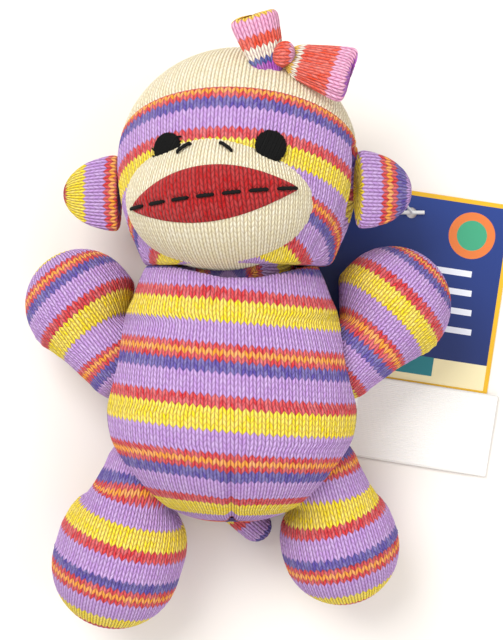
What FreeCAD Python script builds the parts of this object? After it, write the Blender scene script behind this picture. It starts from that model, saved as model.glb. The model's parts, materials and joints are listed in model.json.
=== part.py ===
import FreeCAD, Part
import math
import os

# A small stuffed monkey sewn from striped knit fabric, lying on its back.
# +Z is up from the surface it lies on, +Y points from the legs to the crown and +X is the
# monkey's own left.  The origin is the middle of the flat that its back presses on the surface.
# Every size is in millimetres and every angle in degrees.

# ---------------------------------------------------------------- fabric and gaps
FABRIC = 1.2            # thickness of the knit fabric
SEWN_GAP = 0.15         # between two pieces of one sewn body
MOVING_GAP = 0.5        # between pieces that move past each other

# ---------------------------------------------------------------- torso
TORSO_HALF_WIDTH = 42.5
TORSO_HALF_DEPTH = 35.0
TORSO_BELOW = 38.4      # from the widest level down to the seat
TORSO_ABOVE = 62.8      # from the widest level up to where the egg would close
TORSO_NECK_CUT = 46.0   # level of the flat top under the neck
BACK_FLAT_DEPTH = 1.0   # how far the surface flattens the back
SHOULDER_LEVEL = 17.0
HIP_LEVEL = -24.0
LIMB_ROOT_HEIGHT = 28.0 # height of shoulders and hips above the surface
LIMB_ROOT_SINK = 3.0    # how far a limb's pivot lies under the torso's skin

# ---------------------------------------------------------------- head
HEAD_HALF_WIDTH = 41.0
HEAD_HALF_DEPTH = 36.0
HEAD_ABOVE = 39.4
HEAD_BELOW = 51.0
HEAD_NECK_CUT = 32.5    # from the head's middle down to its flat underside
HEAD_LEVEL = 83.0       # head's middle above the torso's widest level
HEAD_SIDEWAYS = 2.0
HEAD_TURN = 10.0        # the face looks towards the monkey's right
CAP_LEVEL = 9.0         # crown cap's edge at the ears, over the head's middle
CAP_SLOPE = 24.0        # the cap's edge rises towards the face
NECK_LEVEL = 49.0       # pivot of the neck above the torso's widest level
NECK_RADIUS = 21.0      # ball of stuffing in the neck

# ---------------------------------------------------------------- face
MUZZLE_HALF_WIDTH = 32.0
MUZZLE_HALF_HEIGHT = 24.0
MUZZLE_HALF_DEPTH = 28.0
MUZZLE_DROP = 12.5      # middle of the muzzle under the head's middle
MUZZLE_FORWARD = 16.0
MUZZLE_SIDE = -2.0      # towards the right of the face
LIPS_HALF_WIDTH = 28.0
LIPS_RISE = 9.5
LIPS_FALL = 8.0
LIPS_THICKNESS = 0.8
LIPS_DROP = 1.5         # middle of the mouth below the middle of the muzzle
LIPS_TILT = 6.0         # the mouth climbs towards the left of the face
MOUTH_STITCHES = 7
MOUTH_STITCH_LENGTH = 4.4
THREAD = 1.1            # thickness of the black embroidery thread
NOSTRIL_SPACING = 13.5
NOSTRIL_SIDE = -1.5      # middle of the two, from the middle of the muzzle
NOSTRIL_LENGTH = 5.0
NOSTRIL_SLANT = 35.0
NOSTRIL_RISE = 14.0     # over the muzzle's middle
EYE_DIAMETER = 10.0
EYE_THICKNESS = 1.4
EYE_SPACING = 33.0
EYE_RISE = 2.0          # over the head's middle

# ---------------------------------------------------------------- ears
EAR_REACH = 20.0
EAR_HALF_HEIGHT = 13.5
EAR_HALF_THICKNESS = 4.2
EAR_DROP = 9.0
EAR_ROOT_OUT = 40.8     # hinge line of an ear from the head's middle
EAR_FORWARD = 2.0
EARS = {                # name: side, and how far the ear is folded back
    "right_ear": dict(side=-1, fold=0.0),
    "left_ear": dict(side=1, fold=30.0),
}

# ---------------------------------------------------------------- limbs
ROOT_BALL = 14.0        # stuffed ball at the root of every arm and leg
# the flank runs from this angle of the root ball to this angle of the bulb, from the limb's line
ARM_FLANK = (42.0, 85.0)
LEG_FLANK = (58.0, 60.0)
# side, level, reach to the bulb's middle, bulb radius, straight part, spread from +Y, rise, flank
LIMBS = {
    "right_arm": dict(side=-1, level=SHOULDER_LEVEL, reach=22.5, radius=19.5, straight=3.0,
                      spread=38.0, rise=-14.0, flank=ARM_FLANK),
    "left_arm": dict(side=1, level=SHOULDER_LEVEL, reach=24.0, radius=20.5, straight=3.0,
                     spread=43.0, rise=-11.0, flank=ARM_FLANK),
    "right_leg": dict(side=-1, level=HIP_LEVEL, reach=27.0, radius=22.5, straight=7.0,
                      spread=162.5, rise=-9.0, flank=LEG_FLANK),
    "left_leg": dict(side=1, level=HIP_LEVEL, reach=25.0, radius=20.5, straight=3.0,
                     spread=164.0, rise=-14.0, flank=LEG_FLANK),
}

# ---------------------------------------------------------------- tail
TAIL_RADIUS = 6.0
TAIL_LENGTH = 20.0
TAIL_ROOT_BALL = 6.5
TAIL_MOUTH = 3.0        # the gathered end does not close quite shut
TAIL_ROOT = (-2.0, -34.0, 12.0)
TAIL_DIRECTION = -42.0  # from the monkey's left, in the plane of the surface
TAIL_DROP = -16.0

# ---------------------------------------------------------------- bow
BOW_KNOT = (19.0, 119.5, 59.5)
BOW_ROLL = -22.0        # its long way drops towards the monkey's left
BOW_LEAN = 22.0         # its face leans up towards the crown
BOW_LOOP_HALF_LENGTH = 10.0
BOW_LOOP_HALF_HEIGHT = 11.5
BOW_LOOP_HALF_DEPTH = 4.0
BOW_KNOT_HALF = (3.6, 4.6, 4.4)
BOW_LOOP_TILT = 14.0    # loops fan upwards from the knot

# ---------------------------------------------------------------- tags
TAG_WIDTH = 74.0
TAG_HEIGHT = 70.0
TAG_THICKNESS = 0.5
TAG_CORNER = 1.5
TAG_HOLE = 4.0
TAG_HOLE_INSET = 8.0    # hole's middle under the card's top edge
TAG_HOLE_PLACE = (65.0, 69.7)
TAG_LIFT = 0.1
TAG_ROTATION = -8.6
PIN_THREAD = 0.9        # nylon thread of the tag pin
PIN_BAR_LENGTH = 9.0
PIN_BAR = 1.4
PIN_EAR_REACH = 14.0    # from the ear's hinge line to the pin
LABEL_LENGTH = 66.0
LABEL_WIDTH = 30.0
LABEL_THICKNESS = 0.35
LABEL_LEVEL = -2.0
LABEL_ROOT_HEIGHT = 11.0
LABEL_DROP_RUN = 12.0   # along the surface while the label comes down to it
LABEL_ROTATION = -9.0

# ---------------------------------------------------------------- places worked out
TORSO_HEIGHT = TORSO_HALF_DEPTH - BACK_FLAT_DEPTH
HEAD_HEIGHT = HEAD_HALF_DEPTH + 1.0
SKIN = FABRIC + SEWN_GAP
HUGE = 400.0

X = FreeCAD.Vector(1, 0, 0)
Y = FreeCAD.Vector(0, 1, 0)
Z = FreeCAD.Vector(0, 0, 1)
TORSO_MIDDLE = FreeCAD.Vector(0, 0, TORSO_HEIGHT)
HEAD_MIDDLE = FreeCAD.Vector(HEAD_SIDEWAYS, HEAD_LEVEL, HEAD_HEIGHT)
NECK = FreeCAD.Vector(HEAD_SIDEWAYS / 2, NECK_LEVEL, TORSO_HEIGHT + 1.0)
HEAD_POSE = FreeCAD.Placement(HEAD_MIDDLE, FreeCAD.Rotation(Y, -HEAD_TURN))

made = {}


def keep(name, shape):
    """Remember one finished piece under its own name."""
    made[name] = shape


def ellipsoid(half_x, half_y, half_z, middle=FreeCAD.Vector()):
    """A solid ellipsoid with its three half sizes along X, Y and Z."""
    stretch = FreeCAD.Matrix()
    stretch.scale(half_x, half_y, half_z)
    solid = Part.makeSphere(1, FreeCAD.Vector(), Y).transformGeometry(stretch)
    return moved(solid, middle)


def egg(half_width, half_depth, below, above):
    """Two half ellipsoids joined at the widest level, which is Y = 0."""
    halves = []
    for reach, low, high in ((below, -90, 0), (above, 0, 90)):
        stretch = FreeCAD.Matrix()
        stretch.scale(half_width, reach, half_depth)
        half = Part.makeSphere(1, FreeCAD.Vector(), Y, low, high, 360)
        halves.append(half.transformGeometry(stretch))
    return halves[0].fuse(halves[1])


def moved(shape, offset):
    copy = shape.copy()
    copy.translate(offset)
    return copy


def placed(shape, placement):
    copy = shape.copy()
    copy.Placement = placement.multiply(copy.Placement)
    return copy


def half_space(point, normal):
    """A block that fills the side of a plane that its normal points to."""
    block = Part.makeBox(HUGE, HUGE, HUGE, FreeCAD.Vector(-HUGE / 2, -HUGE / 2, 0))
    turn = FreeCAD.Rotation(Z, normal)
    return placed(block, FreeCAD.Placement(point, turn))


def front_and_back(shell, point, normal, gap=SEWN_GAP):
    """The two panels of a sewn skin, parted along the seam plane."""
    way = FreeCAD.Vector(normal)
    way.normalize()
    front = shell.common(half_space(point + way * (gap / 2), way))
    back = shell.common(half_space(point - way * (gap / 2), way * -1))
    return front, back


def rod(start, end, radius):
    """A straight round rod between two points."""
    way = end - start
    return Part.makeCylinder(radius, way.Length, start, way)


def surface_point(middle, half_sizes, offset_x, offset_y):
    """Front point of an ellipsoid over one place, and its outward direction there."""
    a, b, c = half_sizes
    height = c * math.sqrt(1 - (offset_x / a) ** 2 - (offset_y / b) ** 2)
    local = FreeCAD.Vector(offset_x, offset_y, height)
    outward = FreeCAD.Vector(offset_x / a ** 2, offset_y / b ** 2, height / c ** 2)
    outward.normalize()
    return middle + local, outward


# ================================================================ limbs: shared geometry
def torso_half_width_at(level, height):
    """Half width of the torso at one level and height."""
    reach = TORSO_ABOVE if level > 0 else TORSO_BELOW
    rest = 1 - (level / reach) ** 2 - ((height - TORSO_HEIGHT) / TORSO_HALF_DEPTH) ** 2
    return TORSO_HALF_WIDTH * math.sqrt(rest)


def limb_root(limb):
    """Pivot of a limb: just under the torso's skin, on the outward line of its level."""
    level = limb["level"]
    out = torso_half_width_at(level, LIMB_ROOT_HEIGHT)
    reach = TORSO_ABOVE if level > 0 else TORSO_BELOW
    skin = FreeCAD.Vector(out, level, LIMB_ROOT_HEIGHT - TORSO_HEIGHT)
    outward = FreeCAD.Vector(skin.x / TORSO_HALF_WIDTH ** 2, skin.y / reach ** 2,
                             skin.z / TORSO_HALF_DEPTH ** 2)
    outward.normalize()
    pivot = TORSO_MIDDLE + skin - outward * LIMB_ROOT_SINK
    pivot.x = pivot.x * limb["side"]
    outward.x = outward.x * limb["side"]
    return pivot, outward


def limb_direction(limb):
    """Unit vector from the pivot to the limb's bulb."""
    spread = math.radians(limb["spread"])
    rise = math.radians(limb["rise"])
    flat = math.cos(rise)
    return FreeCAD.Vector(limb["side"] * math.sin(spread) * flat,
                          math.cos(spread) * flat, math.sin(rise))


def limb_body(limb, inset):
    """Root ball and bulb of a limb in one turned piece, drawn in by an inset."""
    ball = ROOT_BALL - inset
    radius = limb["radius"] - inset
    straight = limb["straight"]
    waist, shoulder = [math.radians(angle) for angle in limb["flank"]]
    near = limb["reach"]
    far = near + straight
    back = FreeCAD.Vector(-ball, 0, 0)
    foot = FreeCAD.Vector(ball * math.cos(waist), ball * math.sin(waist), 0)
    bend = FreeCAD.Vector(near - radius * math.cos(shoulder), radius * math.sin(shoulder), 0)
    half_way = shoulder + (math.pi / 2 - shoulder) / 2
    crest = FreeCAD.Vector(near - radius * math.cos(half_way), radius * math.sin(half_way), 0)
    corner = radius * math.sqrt(0.5)
    tip = FreeCAD.Vector(far + radius, 0, 0)
    near_side = FreeCAD.Vector(near, radius, 0)
    far_side = FreeCAD.Vector(far, radius, 0)
    outline = Part.Wire([
        Part.Arc(back, FreeCAD.Vector(0, ball, 0), foot).toShape(),
        Part.LineSegment(foot, bend).toShape(),
        Part.Arc(bend, crest, near_side).toShape(),
        Part.LineSegment(near_side, far_side).toShape(),
        Part.Arc(far_side, FreeCAD.Vector(far + corner, corner, 0), tip).toShape(),
        Part.LineSegment(tip, back).toShape(),
    ])
    body = Part.Face(outline).revolve(FreeCAD.Vector(), X, 360)
    pivot, _ = limb_root(limb)
    return placed(body, FreeCAD.Placement(pivot, FreeCAD.Rotation(X, limb_direction(limb))))


def build_limbs():
    for name, limb in LIMBS.items():
        pivot, outward = limb_root(limb)
        way = limb_direction(limb)
        seam_normal = Z - way * Z.dot(way)
        shell = limb_body(limb, 0).cut(limb_body(limb, FABRIC))
        front, back = front_and_back(shell, pivot, seam_normal)
        keep(name + "_front_panel", front)
        keep(name + "_back_panel", back)
        keep(name + "_stuffing", limb_body(limb, SKIN))
        keep(name + "_gathered_end", root_patch(pivot, way, ROOT_BALL))


def root_patch(pivot, way, ball):
    """Gathered end of a stuffed piece: a cap of fabric between its ball and the socket."""
    inner = ball + MOVING_GAP
    cap = Part.makeSphere(inner + FABRIC / 2, pivot).cut(Part.makeSphere(inner, pivot))
    return cap.common(half_space(pivot - way * (ball * 0.8), way * -1))


def socket(pivot, ball):
    """Hollow that a root ball and its gathered end turn in."""
    return Part.makeSphere(ball + FABRIC / 2 + 2 * MOVING_GAP, pivot)


# ================================================================ torso
def torso_body(inset):
    body = egg(TORSO_HALF_WIDTH - inset, TORSO_HALF_DEPTH - inset,
               TORSO_BELOW - inset, TORSO_ABOVE - inset)
    body = moved(body, TORSO_MIDDLE)
    body = body.common(half_space(FreeCAD.Vector(0, TORSO_NECK_CUT - inset, 0), Y * -1))
    return body.common(half_space(FreeCAD.Vector(0, 0, inset), Z))


def torso_sockets(margin):
    """Everything that is hollowed out of the torso: neck, shoulders, hips and tail root."""
    hollows = [socket(NECK, NECK_RADIUS + NECK_LAYER + margin)]
    for limb in LIMBS.values():
        pivot, _ = limb_root(limb)
        hollows.append(socket(pivot, ROOT_BALL + margin))
    hollows.append(Part.makeSphere(TAIL_ROOT_BALL + MOVING_GAP + margin, tail_root()))
    return hollows


def build_torso():
    outer = torso_body(0)
    shell = outer.cut(torso_body(FABRIC))
    shell = shell.cut(torso_sockets(0))
    front, back = front_and_back(shell, TORSO_MIDDLE, Z)
    keep("torso_front_panel", front)
    keep("torso_back_panel", back)
    keep("torso_stuffing", torso_body(SKIN).cut(torso_sockets(FABRIC)))


# ================================================================ neck and head
NECK_LAYER = FABRIC / 2 + MOVING_GAP   # one more layer of fabric turns inside the neck socket


def neck_cap(radius, depth):
    """A cap of gathered fabric around the underside of the neck ball."""
    shell = Part.makeSphere(radius + FABRIC / 2, NECK).cut(Part.makeSphere(radius, NECK))
    return shell.common(half_space(NECK - Y * depth, Y * -1))


def head_body(inset):
    body = egg(HEAD_HALF_WIDTH - inset, HEAD_HALF_DEPTH - inset,
               HEAD_BELOW - inset, HEAD_ABOVE - inset)
    body = body.common(half_space(Y * (inset - HEAD_NECK_CUT), Y))
    body = placed(body, HEAD_POSE)
    return body.fuse(Part.makeSphere(NECK_RADIUS - inset, NECK))


def muzzle_egg(grow):
    body = ellipsoid(MUZZLE_HALF_WIDTH + grow, MUZZLE_HALF_HEIGHT + grow,
                     MUZZLE_HALF_DEPTH + grow, muzzle_middle())
    return placed(body, HEAD_POSE)


def muzzle_middle():
    return FreeCAD.Vector(MUZZLE_SIDE, -MUZZLE_DROP, MUZZLE_FORWARD)


def ear_line(side):
    return FreeCAD.Vector(side * EAR_ROOT_OUT, -EAR_DROP, EAR_FORWARD)


def ear_groove(side, margin):
    """Groove in the side of the head that an ear's root turns in."""
    half_length = EAR_HALF_HEIGHT + MOVING_GAP + margin
    start = ear_line(side) - Y * half_length
    radius = EAR_HALF_THICKNESS + MOVING_GAP + margin
    return placed(Part.makeCylinder(radius, 2 * half_length, start, Y), HEAD_POSE)


def eye_place(side):
    return surface_point(FreeCAD.Vector(), (HEAD_HALF_WIDTH, HEAD_ABOVE, HEAD_HALF_DEPTH),
                         side * EYE_SPACING / 2, EYE_RISE)


def eye_disc(side, margin):
    """One eye, a thick embroidered disc that stands on the skin."""
    spot, outward = eye_place(side)
    start = spot + outward * (SEWN_GAP * 4 - margin)
    height = EYE_THICKNESS + 8 * margin
    disc = Part.makeCylinder(EYE_DIAMETER / 2 + margin, height, start, outward)
    return placed(disc, HEAD_POSE)


def build_head():
    shell = head_body(0).cut(head_body(FABRIC))
    shell = shell.cut([ear_groove(-1, 0), ear_groove(1, 0)])
    slope = math.radians(CAP_SLOPE)
    cap_normal = HEAD_POSE.Rotation.multVec(FreeCAD.Vector(0, math.cos(slope), -math.sin(slope)))
    cap_point = HEAD_POSE.multVec(Y * CAP_LEVEL)
    cap, striped = front_and_back(shell, cap_point, cap_normal)
    front, back = front_and_back(striped, HEAD_MIDDLE, HEAD_POSE.Rotation.multVec(Z))
    keep("crown_cap", cap)
    keep("head_front_panel", front)
    keep("head_back_panel", back)
    stuffing = head_body(SKIN).cut([ear_groove(-1, FABRIC), ear_groove(1, FABRIC)])
    keep("head_stuffing", stuffing)
    keep("neck_gathered_end", neck_cap(NECK_RADIUS + MOVING_GAP, NECK_RADIUS * 0.62))
    outer = NECK_RADIUS + NECK_LAYER + MOVING_GAP
    keep("body_gathered_end", neck_cap(outer, NECK_RADIUS * 0.62))


def build_muzzle():
    skin_side = head_body(-SEWN_GAP)
    panel = muzzle_egg(0).cut(muzzle_egg(-FABRIC)).cut(skin_side)
    panel = panel.cut([eye_disc(-1, SEWN_GAP), eye_disc(1, SEWN_GAP)])
    keep("muzzle_panel", biggest(panel))
    filling = muzzle_egg(-SKIN).cut(skin_side)
    filling = filling.cut([eye_disc(-1, SEWN_GAP), eye_disc(1, SEWN_GAP)])
    keep("muzzle_stuffing", biggest(filling))


def biggest(shape):
    """The main solid of a cut, without the crumbs beside it."""
    return max(shape.Solids, key=lambda solid: solid.Volume)


def build_lips():
    """A lens of red knit on the muzzle: an upper arc and a lower arc between two corners."""
    middle = FreeCAD.Vector(MUZZLE_SIDE, -MUZZLE_DROP - LIPS_DROP, MUZZLE_FORWARD)
    left = X * -LIPS_HALF_WIDTH
    right = X * LIPS_HALF_WIDTH
    upper = Part.Arc(left, Y * LIPS_RISE, right).toShape()
    lower = Part.Arc(right, Y * -LIPS_FALL, left).toShape()
    prism = Part.Face(Part.Wire([upper, lower])).extrude(Z * (2 * HEAD_HALF_WIDTH))
    tilt = FreeCAD.Placement(middle, FreeCAD.Rotation(Z, LIPS_TILT))
    prism = placed(placed(prism, tilt), HEAD_POSE)
    layer = muzzle_egg(SEWN_GAP + LIPS_THICKNESS).cut(muzzle_egg(SEWN_GAP))
    keep("lips", layer.common(prism))


def stitch(offset_x, offset_y, length, slant, lift):
    """One straight embroidery stitch that lies along the muzzle's surface."""
    half_sizes = (MUZZLE_HALF_WIDTH, MUZZLE_HALF_HEIGHT, MUZZLE_HALF_DEPTH)
    slant = math.radians(slant)
    reach_x = length / 2 * math.cos(slant)
    reach_y = length / 2 * math.sin(slant)
    ends = []
    for way in (-1, 1):
        spot, outward = surface_point(muzzle_middle(), half_sizes,
                                      offset_x + way * reach_x, offset_y + way * reach_y)
        ends.append(spot + outward * (lift + THREAD / 2 + 2 * SEWN_GAP))
    return placed(rod(ends[0], ends[1], THREAD / 2), HEAD_POSE)


def build_face_stitches():
    pitch = 2 * LIPS_HALF_WIDTH / MOUTH_STITCHES
    first = -LIPS_HALF_WIDTH + pitch / 2
    lift = SEWN_GAP + LIPS_THICKNESS
    tilt = math.radians(LIPS_TILT)
    mouth = []
    for step in range(MOUTH_STITCHES):
        along = first + pitch * step
        mouth.append(stitch(along * math.cos(tilt), along * math.sin(tilt) - LIPS_DROP,
                            MOUTH_STITCH_LENGTH, LIPS_TILT, lift))
    keep("mouth_stitches", Part.makeCompound(mouth))
    nostrils = [stitch(NOSTRIL_SIDE + side * NOSTRIL_SPACING / 2, NOSTRIL_RISE, NOSTRIL_LENGTH,
                       NOSTRIL_SLANT * -side, 0)
                for side in (-1, 1)]
    keep("nostril_stitches", Part.makeCompound(nostrils))
    keep("right_eye", eye_disc(-1, 0))
    keep("left_eye", eye_disc(1, 0))


# ================================================================ ears
def ear_pose(ear):
    """Placement of an ear folded back about its hinge line, whose outward way is local +X."""
    flip = FreeCAD.Rotation(Y, 0 if ear["side"] > 0 else 180)
    fold = FreeCAD.Rotation(Y, ear["side"] * ear["fold"])
    local = FreeCAD.Placement(ear_line(ear["side"]), fold.multiply(flip))
    return HEAD_POSE.multiply(local)


def ear_body(ear, inset):
    """Half of a flat ellipsoid that starts at the ear's hinge line."""
    body = ellipsoid(EAR_REACH - inset, EAR_HALF_HEIGHT - inset, EAR_HALF_THICKNESS - inset)
    return placed(body.common(half_space(X * inset, X)), ear_pose(ear))


def build_ears():
    for name, ear in EARS.items():
        shell = ear_body(ear, 0).cut(ear_body(ear, FABRIC))
        filling = ear_body(ear, SKIN)
        if ear["side"] > 0:
            shell = shell.cut(pin_room())
            filling = filling.cut(pin_room())
        pose = ear_pose(ear)
        front_way = pose.Rotation.multVec(Z) * ear["side"]
        front, back = front_and_back(shell, pose.Base, front_way)
        keep(name + "_front_panel", front)
        keep(name + "_back_panel", back)
        keep(name + "_wadding", filling)


# ================================================================ tail
def tail_root():
    return FreeCAD.Vector(*TAIL_ROOT)


def tail_direction():
    angle = math.radians(TAIL_DIRECTION)
    drop = math.radians(TAIL_DROP)
    flat = math.cos(drop)
    return FreeCAD.Vector(math.cos(angle) * flat, math.sin(angle) * flat, math.sin(drop))


def tail_body(inset):
    """A ball that turns in the torso, drawn out into a round-ended tail."""
    ball = TAIL_ROOT_BALL - inset
    radius = TAIL_RADIUS - inset
    straight = TAIL_LENGTH - TAIL_RADIUS
    corner = radius * math.sqrt(0.5)
    back = FreeCAD.Vector(-ball, 0, 0)
    tip = FreeCAD.Vector(straight + radius, 0, 0)
    foot = FreeCAD.Vector(math.sqrt(ball ** 2 - radius ** 2), radius, 0)
    bend = FreeCAD.Vector(straight, radius, 0)
    outline = Part.Wire([
        Part.Arc(back, FreeCAD.Vector(0, ball, 0), foot).toShape(),
        Part.LineSegment(foot, bend).toShape(),
        Part.Arc(bend, FreeCAD.Vector(straight + corner, corner, 0), tip).toShape(),
        Part.LineSegment(tip, back).toShape(),
    ])
    body = Part.Face(outline).revolve(FreeCAD.Vector(), X, 360)
    return placed(body, FreeCAD.Placement(tail_root(), FreeCAD.Rotation(X, tail_direction())))


def build_tail():
    mouth = rod(tail_root(), tail_root() - tail_direction() * TAIL_ROOT_BALL, TAIL_MOUTH / 2)
    keep("tail_skin", tail_body(0).cut(tail_body(FABRIC)).cut(mouth))
    keep("tail_stuffing", tail_body(SKIN))


# ================================================================ bow
def bow_pose():
    lean = FreeCAD.Rotation(X, -BOW_LEAN)
    roll = FreeCAD.Rotation(Z, BOW_ROLL)
    return FreeCAD.Placement(FreeCAD.Vector(*BOW_KNOT), lean.multiply(roll))


def build_bow():
    knot = ellipsoid(*BOW_KNOT_HALF)
    keep("bow_knot", placed(knot, bow_pose()))
    room = ellipsoid(*[half + SEWN_GAP for half in BOW_KNOT_HALF])
    for name, side in (("bow_right_loop", -1), ("bow_left_loop", 1)):
        loop = ellipsoid(BOW_LOOP_HALF_LENGTH, BOW_LOOP_HALF_HEIGHT, BOW_LOOP_HALF_DEPTH)
        loop.translate(X * (side * (BOW_LOOP_HALF_LENGTH + BOW_KNOT_HALF[0] - 1.0)))
        loop.rotate(FreeCAD.Vector(), Z, side * BOW_LOOP_TILT)
        keep(name, placed(loop.cut(room), bow_pose()))


# ================================================================ tags
def tag_pose():
    turn = FreeCAD.Rotation(Z, TAG_ROTATION)
    return FreeCAD.Placement(FreeCAD.Vector(TAG_HOLE_PLACE[0], TAG_HOLE_PLACE[1], TAG_LIFT), turn)


def pin_foot():
    """Where the pin's thread comes up through the card."""
    return FreeCAD.Vector(TAG_HOLE_PLACE[0], TAG_HOLE_PLACE[1],
                          TAG_LIFT + TAG_THICKNESS + PIN_BAR / 2 + MOVING_GAP)


def pin_top():
    """Middle of the ear's filling, where the pin's upper bar is caught."""
    return ear_pose(EARS["left_ear"]).multVec(X * PIN_EAR_REACH)


def pin_parts(margin):
    """Nylon thread with a short bar across each end."""
    foot = pin_foot()
    top = pin_top()
    thread = rod(foot, top, PIN_THREAD / 2 + margin)
    half_bar = PIN_BAR_LENGTH / 2 + margin
    upper = rod(top - Y * half_bar, top + Y * half_bar, PIN_BAR / 2 + margin)
    lower = rod(foot - X * half_bar, foot + X * half_bar, PIN_BAR / 2 + margin)
    return thread.fuse([upper, lower])


def pin_room():
    return pin_parts(SEWN_GAP)


def build_tags():
    card = Part.makeBox(TAG_WIDTH, TAG_HEIGHT, TAG_THICKNESS,
                        FreeCAD.Vector(-TAG_WIDTH / 2, TAG_HOLE_INSET - TAG_HEIGHT, 0))
    corners = [edge for edge in card.Edges if abs(edge.tangentAt(0).z) > 0.9]
    card = card.makeFillet(TAG_CORNER, corners)
    card = card.cut(Part.makeCylinder(TAG_HOLE / 2, TAG_THICKNESS))
    keep("swing_tag", placed(card, tag_pose()))
    keep("tag_pin", pin_parts(0))
    keep("care_label", care_label())


def care_label():
    """A woven ribbon that leaves the side seam, drops to the surface and lies flat on it."""
    out = torso_half_width_at(LABEL_LEVEL, LABEL_ROOT_HEIGHT) + MOVING_GAP
    low = TAG_LIFT + TAG_THICKNESS + MOVING_GAP
    slant = math.hypot(LABEL_DROP_RUN, LABEL_ROOT_HEIGHT - low)
    up = Z * LABEL_THICKNESS
    start = FreeCAD.Vector(out, 0, LABEL_ROOT_HEIGHT)
    bend = FreeCAD.Vector(out + LABEL_DROP_RUN, 0, low)
    end = bend + X * (LABEL_LENGTH - slant)
    outline = Part.makePolygon([start, bend, end, end + up, bend + up, start + up, start])
    ribbon = Part.Face(outline).extrude(Y * LABEL_WIDTH)
    ribbon.translate(Y * (LABEL_LEVEL - LABEL_WIDTH / 2))
    ribbon.rotate(FreeCAD.Vector(out, LABEL_LEVEL, 0), Z, LABEL_ROTATION)
    return ribbon


def write_parts():
    os.makedirs("parts", exist_ok=True)
    for name, shape in made.items():
        if len(shape.Solids) == 1:
            shape = shape.Solids[0]
        shape.exportStep("parts/" + name + ".step")


build_torso()
build_head()
build_muzzle()
build_lips()
build_face_stitches()
build_ears()
build_limbs()
build_tail()
build_bow()
build_tags()
write_parts()
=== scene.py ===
import json
import math

import bpy
import numpy as np
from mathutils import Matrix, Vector
from mathutils.bvhtree import BVHTree


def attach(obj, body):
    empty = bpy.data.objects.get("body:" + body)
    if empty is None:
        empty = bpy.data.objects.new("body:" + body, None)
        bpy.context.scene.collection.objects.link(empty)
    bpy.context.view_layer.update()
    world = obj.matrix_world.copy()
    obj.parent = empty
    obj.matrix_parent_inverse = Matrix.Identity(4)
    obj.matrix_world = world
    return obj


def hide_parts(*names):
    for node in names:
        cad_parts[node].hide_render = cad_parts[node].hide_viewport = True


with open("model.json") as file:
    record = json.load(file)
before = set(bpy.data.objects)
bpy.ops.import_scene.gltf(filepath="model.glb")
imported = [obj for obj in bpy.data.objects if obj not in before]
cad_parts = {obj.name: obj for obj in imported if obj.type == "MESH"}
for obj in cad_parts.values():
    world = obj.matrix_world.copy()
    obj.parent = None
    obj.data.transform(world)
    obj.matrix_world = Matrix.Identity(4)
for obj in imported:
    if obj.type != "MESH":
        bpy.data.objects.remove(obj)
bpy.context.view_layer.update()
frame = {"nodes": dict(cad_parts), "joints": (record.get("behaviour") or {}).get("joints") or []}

# ================================================================ torso
# The stuffed body: two panels of striped stocking-stitch knit over polyester filling.
# It is sewn down both sides, taken in by a dart at the front of the neck and of the crotch,
# and has a dimple for every limb that is sewn to it.
MM = 0.001
WALE = 2.4 * MM          # width of one column of stitches
COURSE = 1.85 * MM       # height of one row of stitches
MESH_STEP = 0.5 * MM     # distance between points of a knitted surface
RAY_START = 150 * MM
X_WAY = np.array((1.0, 0.0, 0.0))
Y_WAY = np.array((0.0, 1.0, 0.0))
Z_WAY = np.array((0.0, 0.0, 1.0))


class Shade:
    """A shader socket that can be added, multiplied and compared like a number."""

    def __init__(self, graph, socket):
        self.graph = graph
        self.socket = socket

    def math(self, operation, *others):
        values = [self.socket] + [getattr(other, "socket", other) for other in others]
        return self.graph.node("ShaderNodeMath", {"operation": operation}, values)

    def __add__(self, other):
        return self.math("ADD", other)

    def __sub__(self, other):
        return self.math("SUBTRACT", other)

    def __mul__(self, other):
        return self.math("MULTIPLY", other)

    def __truediv__(self, other):
        return self.math("DIVIDE", other)

    def __pow__(self, other):
        return self.math("POWER", other)

    def __gt__(self, other):
        return self.math("GREATER_THAN", other)

    def __rsub__(self, other):
        return self.graph.node("ShaderNodeMath", {"operation": "SUBTRACT"}, [other, self.socket])

    __radd__ = __add__
    __rmul__ = __mul__


class Graph:
    """The node tree of one new material."""

    def __init__(self, name):
        self.material = bpy.data.materials.new(name)
        self.material.use_nodes = True
        self.nodes = self.material.node_tree.nodes
        self.links = self.material.node_tree.links
        self.shader = self.nodes["Principled BSDF"]

    def node(self, kind, settings=None, inputs=(), output=0):
        """Add a node with its settings and inputs, by position or by name; give one output."""
        node = self.nodes.new(kind)
        for key, value in (settings or {}).items():
            setattr(node, key, value)
        pairs = inputs.items() if isinstance(inputs, dict) else enumerate(inputs)
        for key, value in pairs:
            self.connect(node.inputs[key], value)
        return Shade(self, node.outputs[output])

    def connect(self, target, value):
        value = getattr(value, "socket", value)
        if isinstance(value, bpy.types.NodeSocket):
            self.links.new(value, target)
        else:
            target.default_value = value

    def mix(self, factor, first, second, blend="MIX"):
        node = self.nodes.new("ShaderNodeMix")
        node.data_type = "RGBA"
        node.blend_type = blend
        self.connect(node.inputs[0], factor)
        self.connect(node.inputs[6], first)
        self.connect(node.inputs[7], second)
        return Shade(self, node.outputs[2])

    def attribute(self, name):
        """The two numbers of one of the mesh's own coordinate layers."""
        layer = self.node("ShaderNodeUVMap", {"uv_map": name})
        split = self.nodes.new("ShaderNodeSeparateXYZ")
        self.connect(split.inputs[0], layer)
        return Shade(self, split.outputs[0]), Shade(self, split.outputs[1])

    def bump(self, height, distance, strength=1.0):
        normal = self.node("ShaderNodeBump", {},
                           {"Strength": strength, "Distance": distance, "Height": height})
        self.connect(self.shader.inputs["Normal"], normal)


def colour(text):
    """Linear colour from a screen colour written as six hexadecimal digits."""
    parts = [int(text[at:at + 2], 16) / 255 for at in (0, 2, 4)]
    return tuple(((part + 0.055) / 1.055) ** 2.4 if part > 0.04 else part / 12.92
                 for part in parts) + (1.0,)


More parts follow.
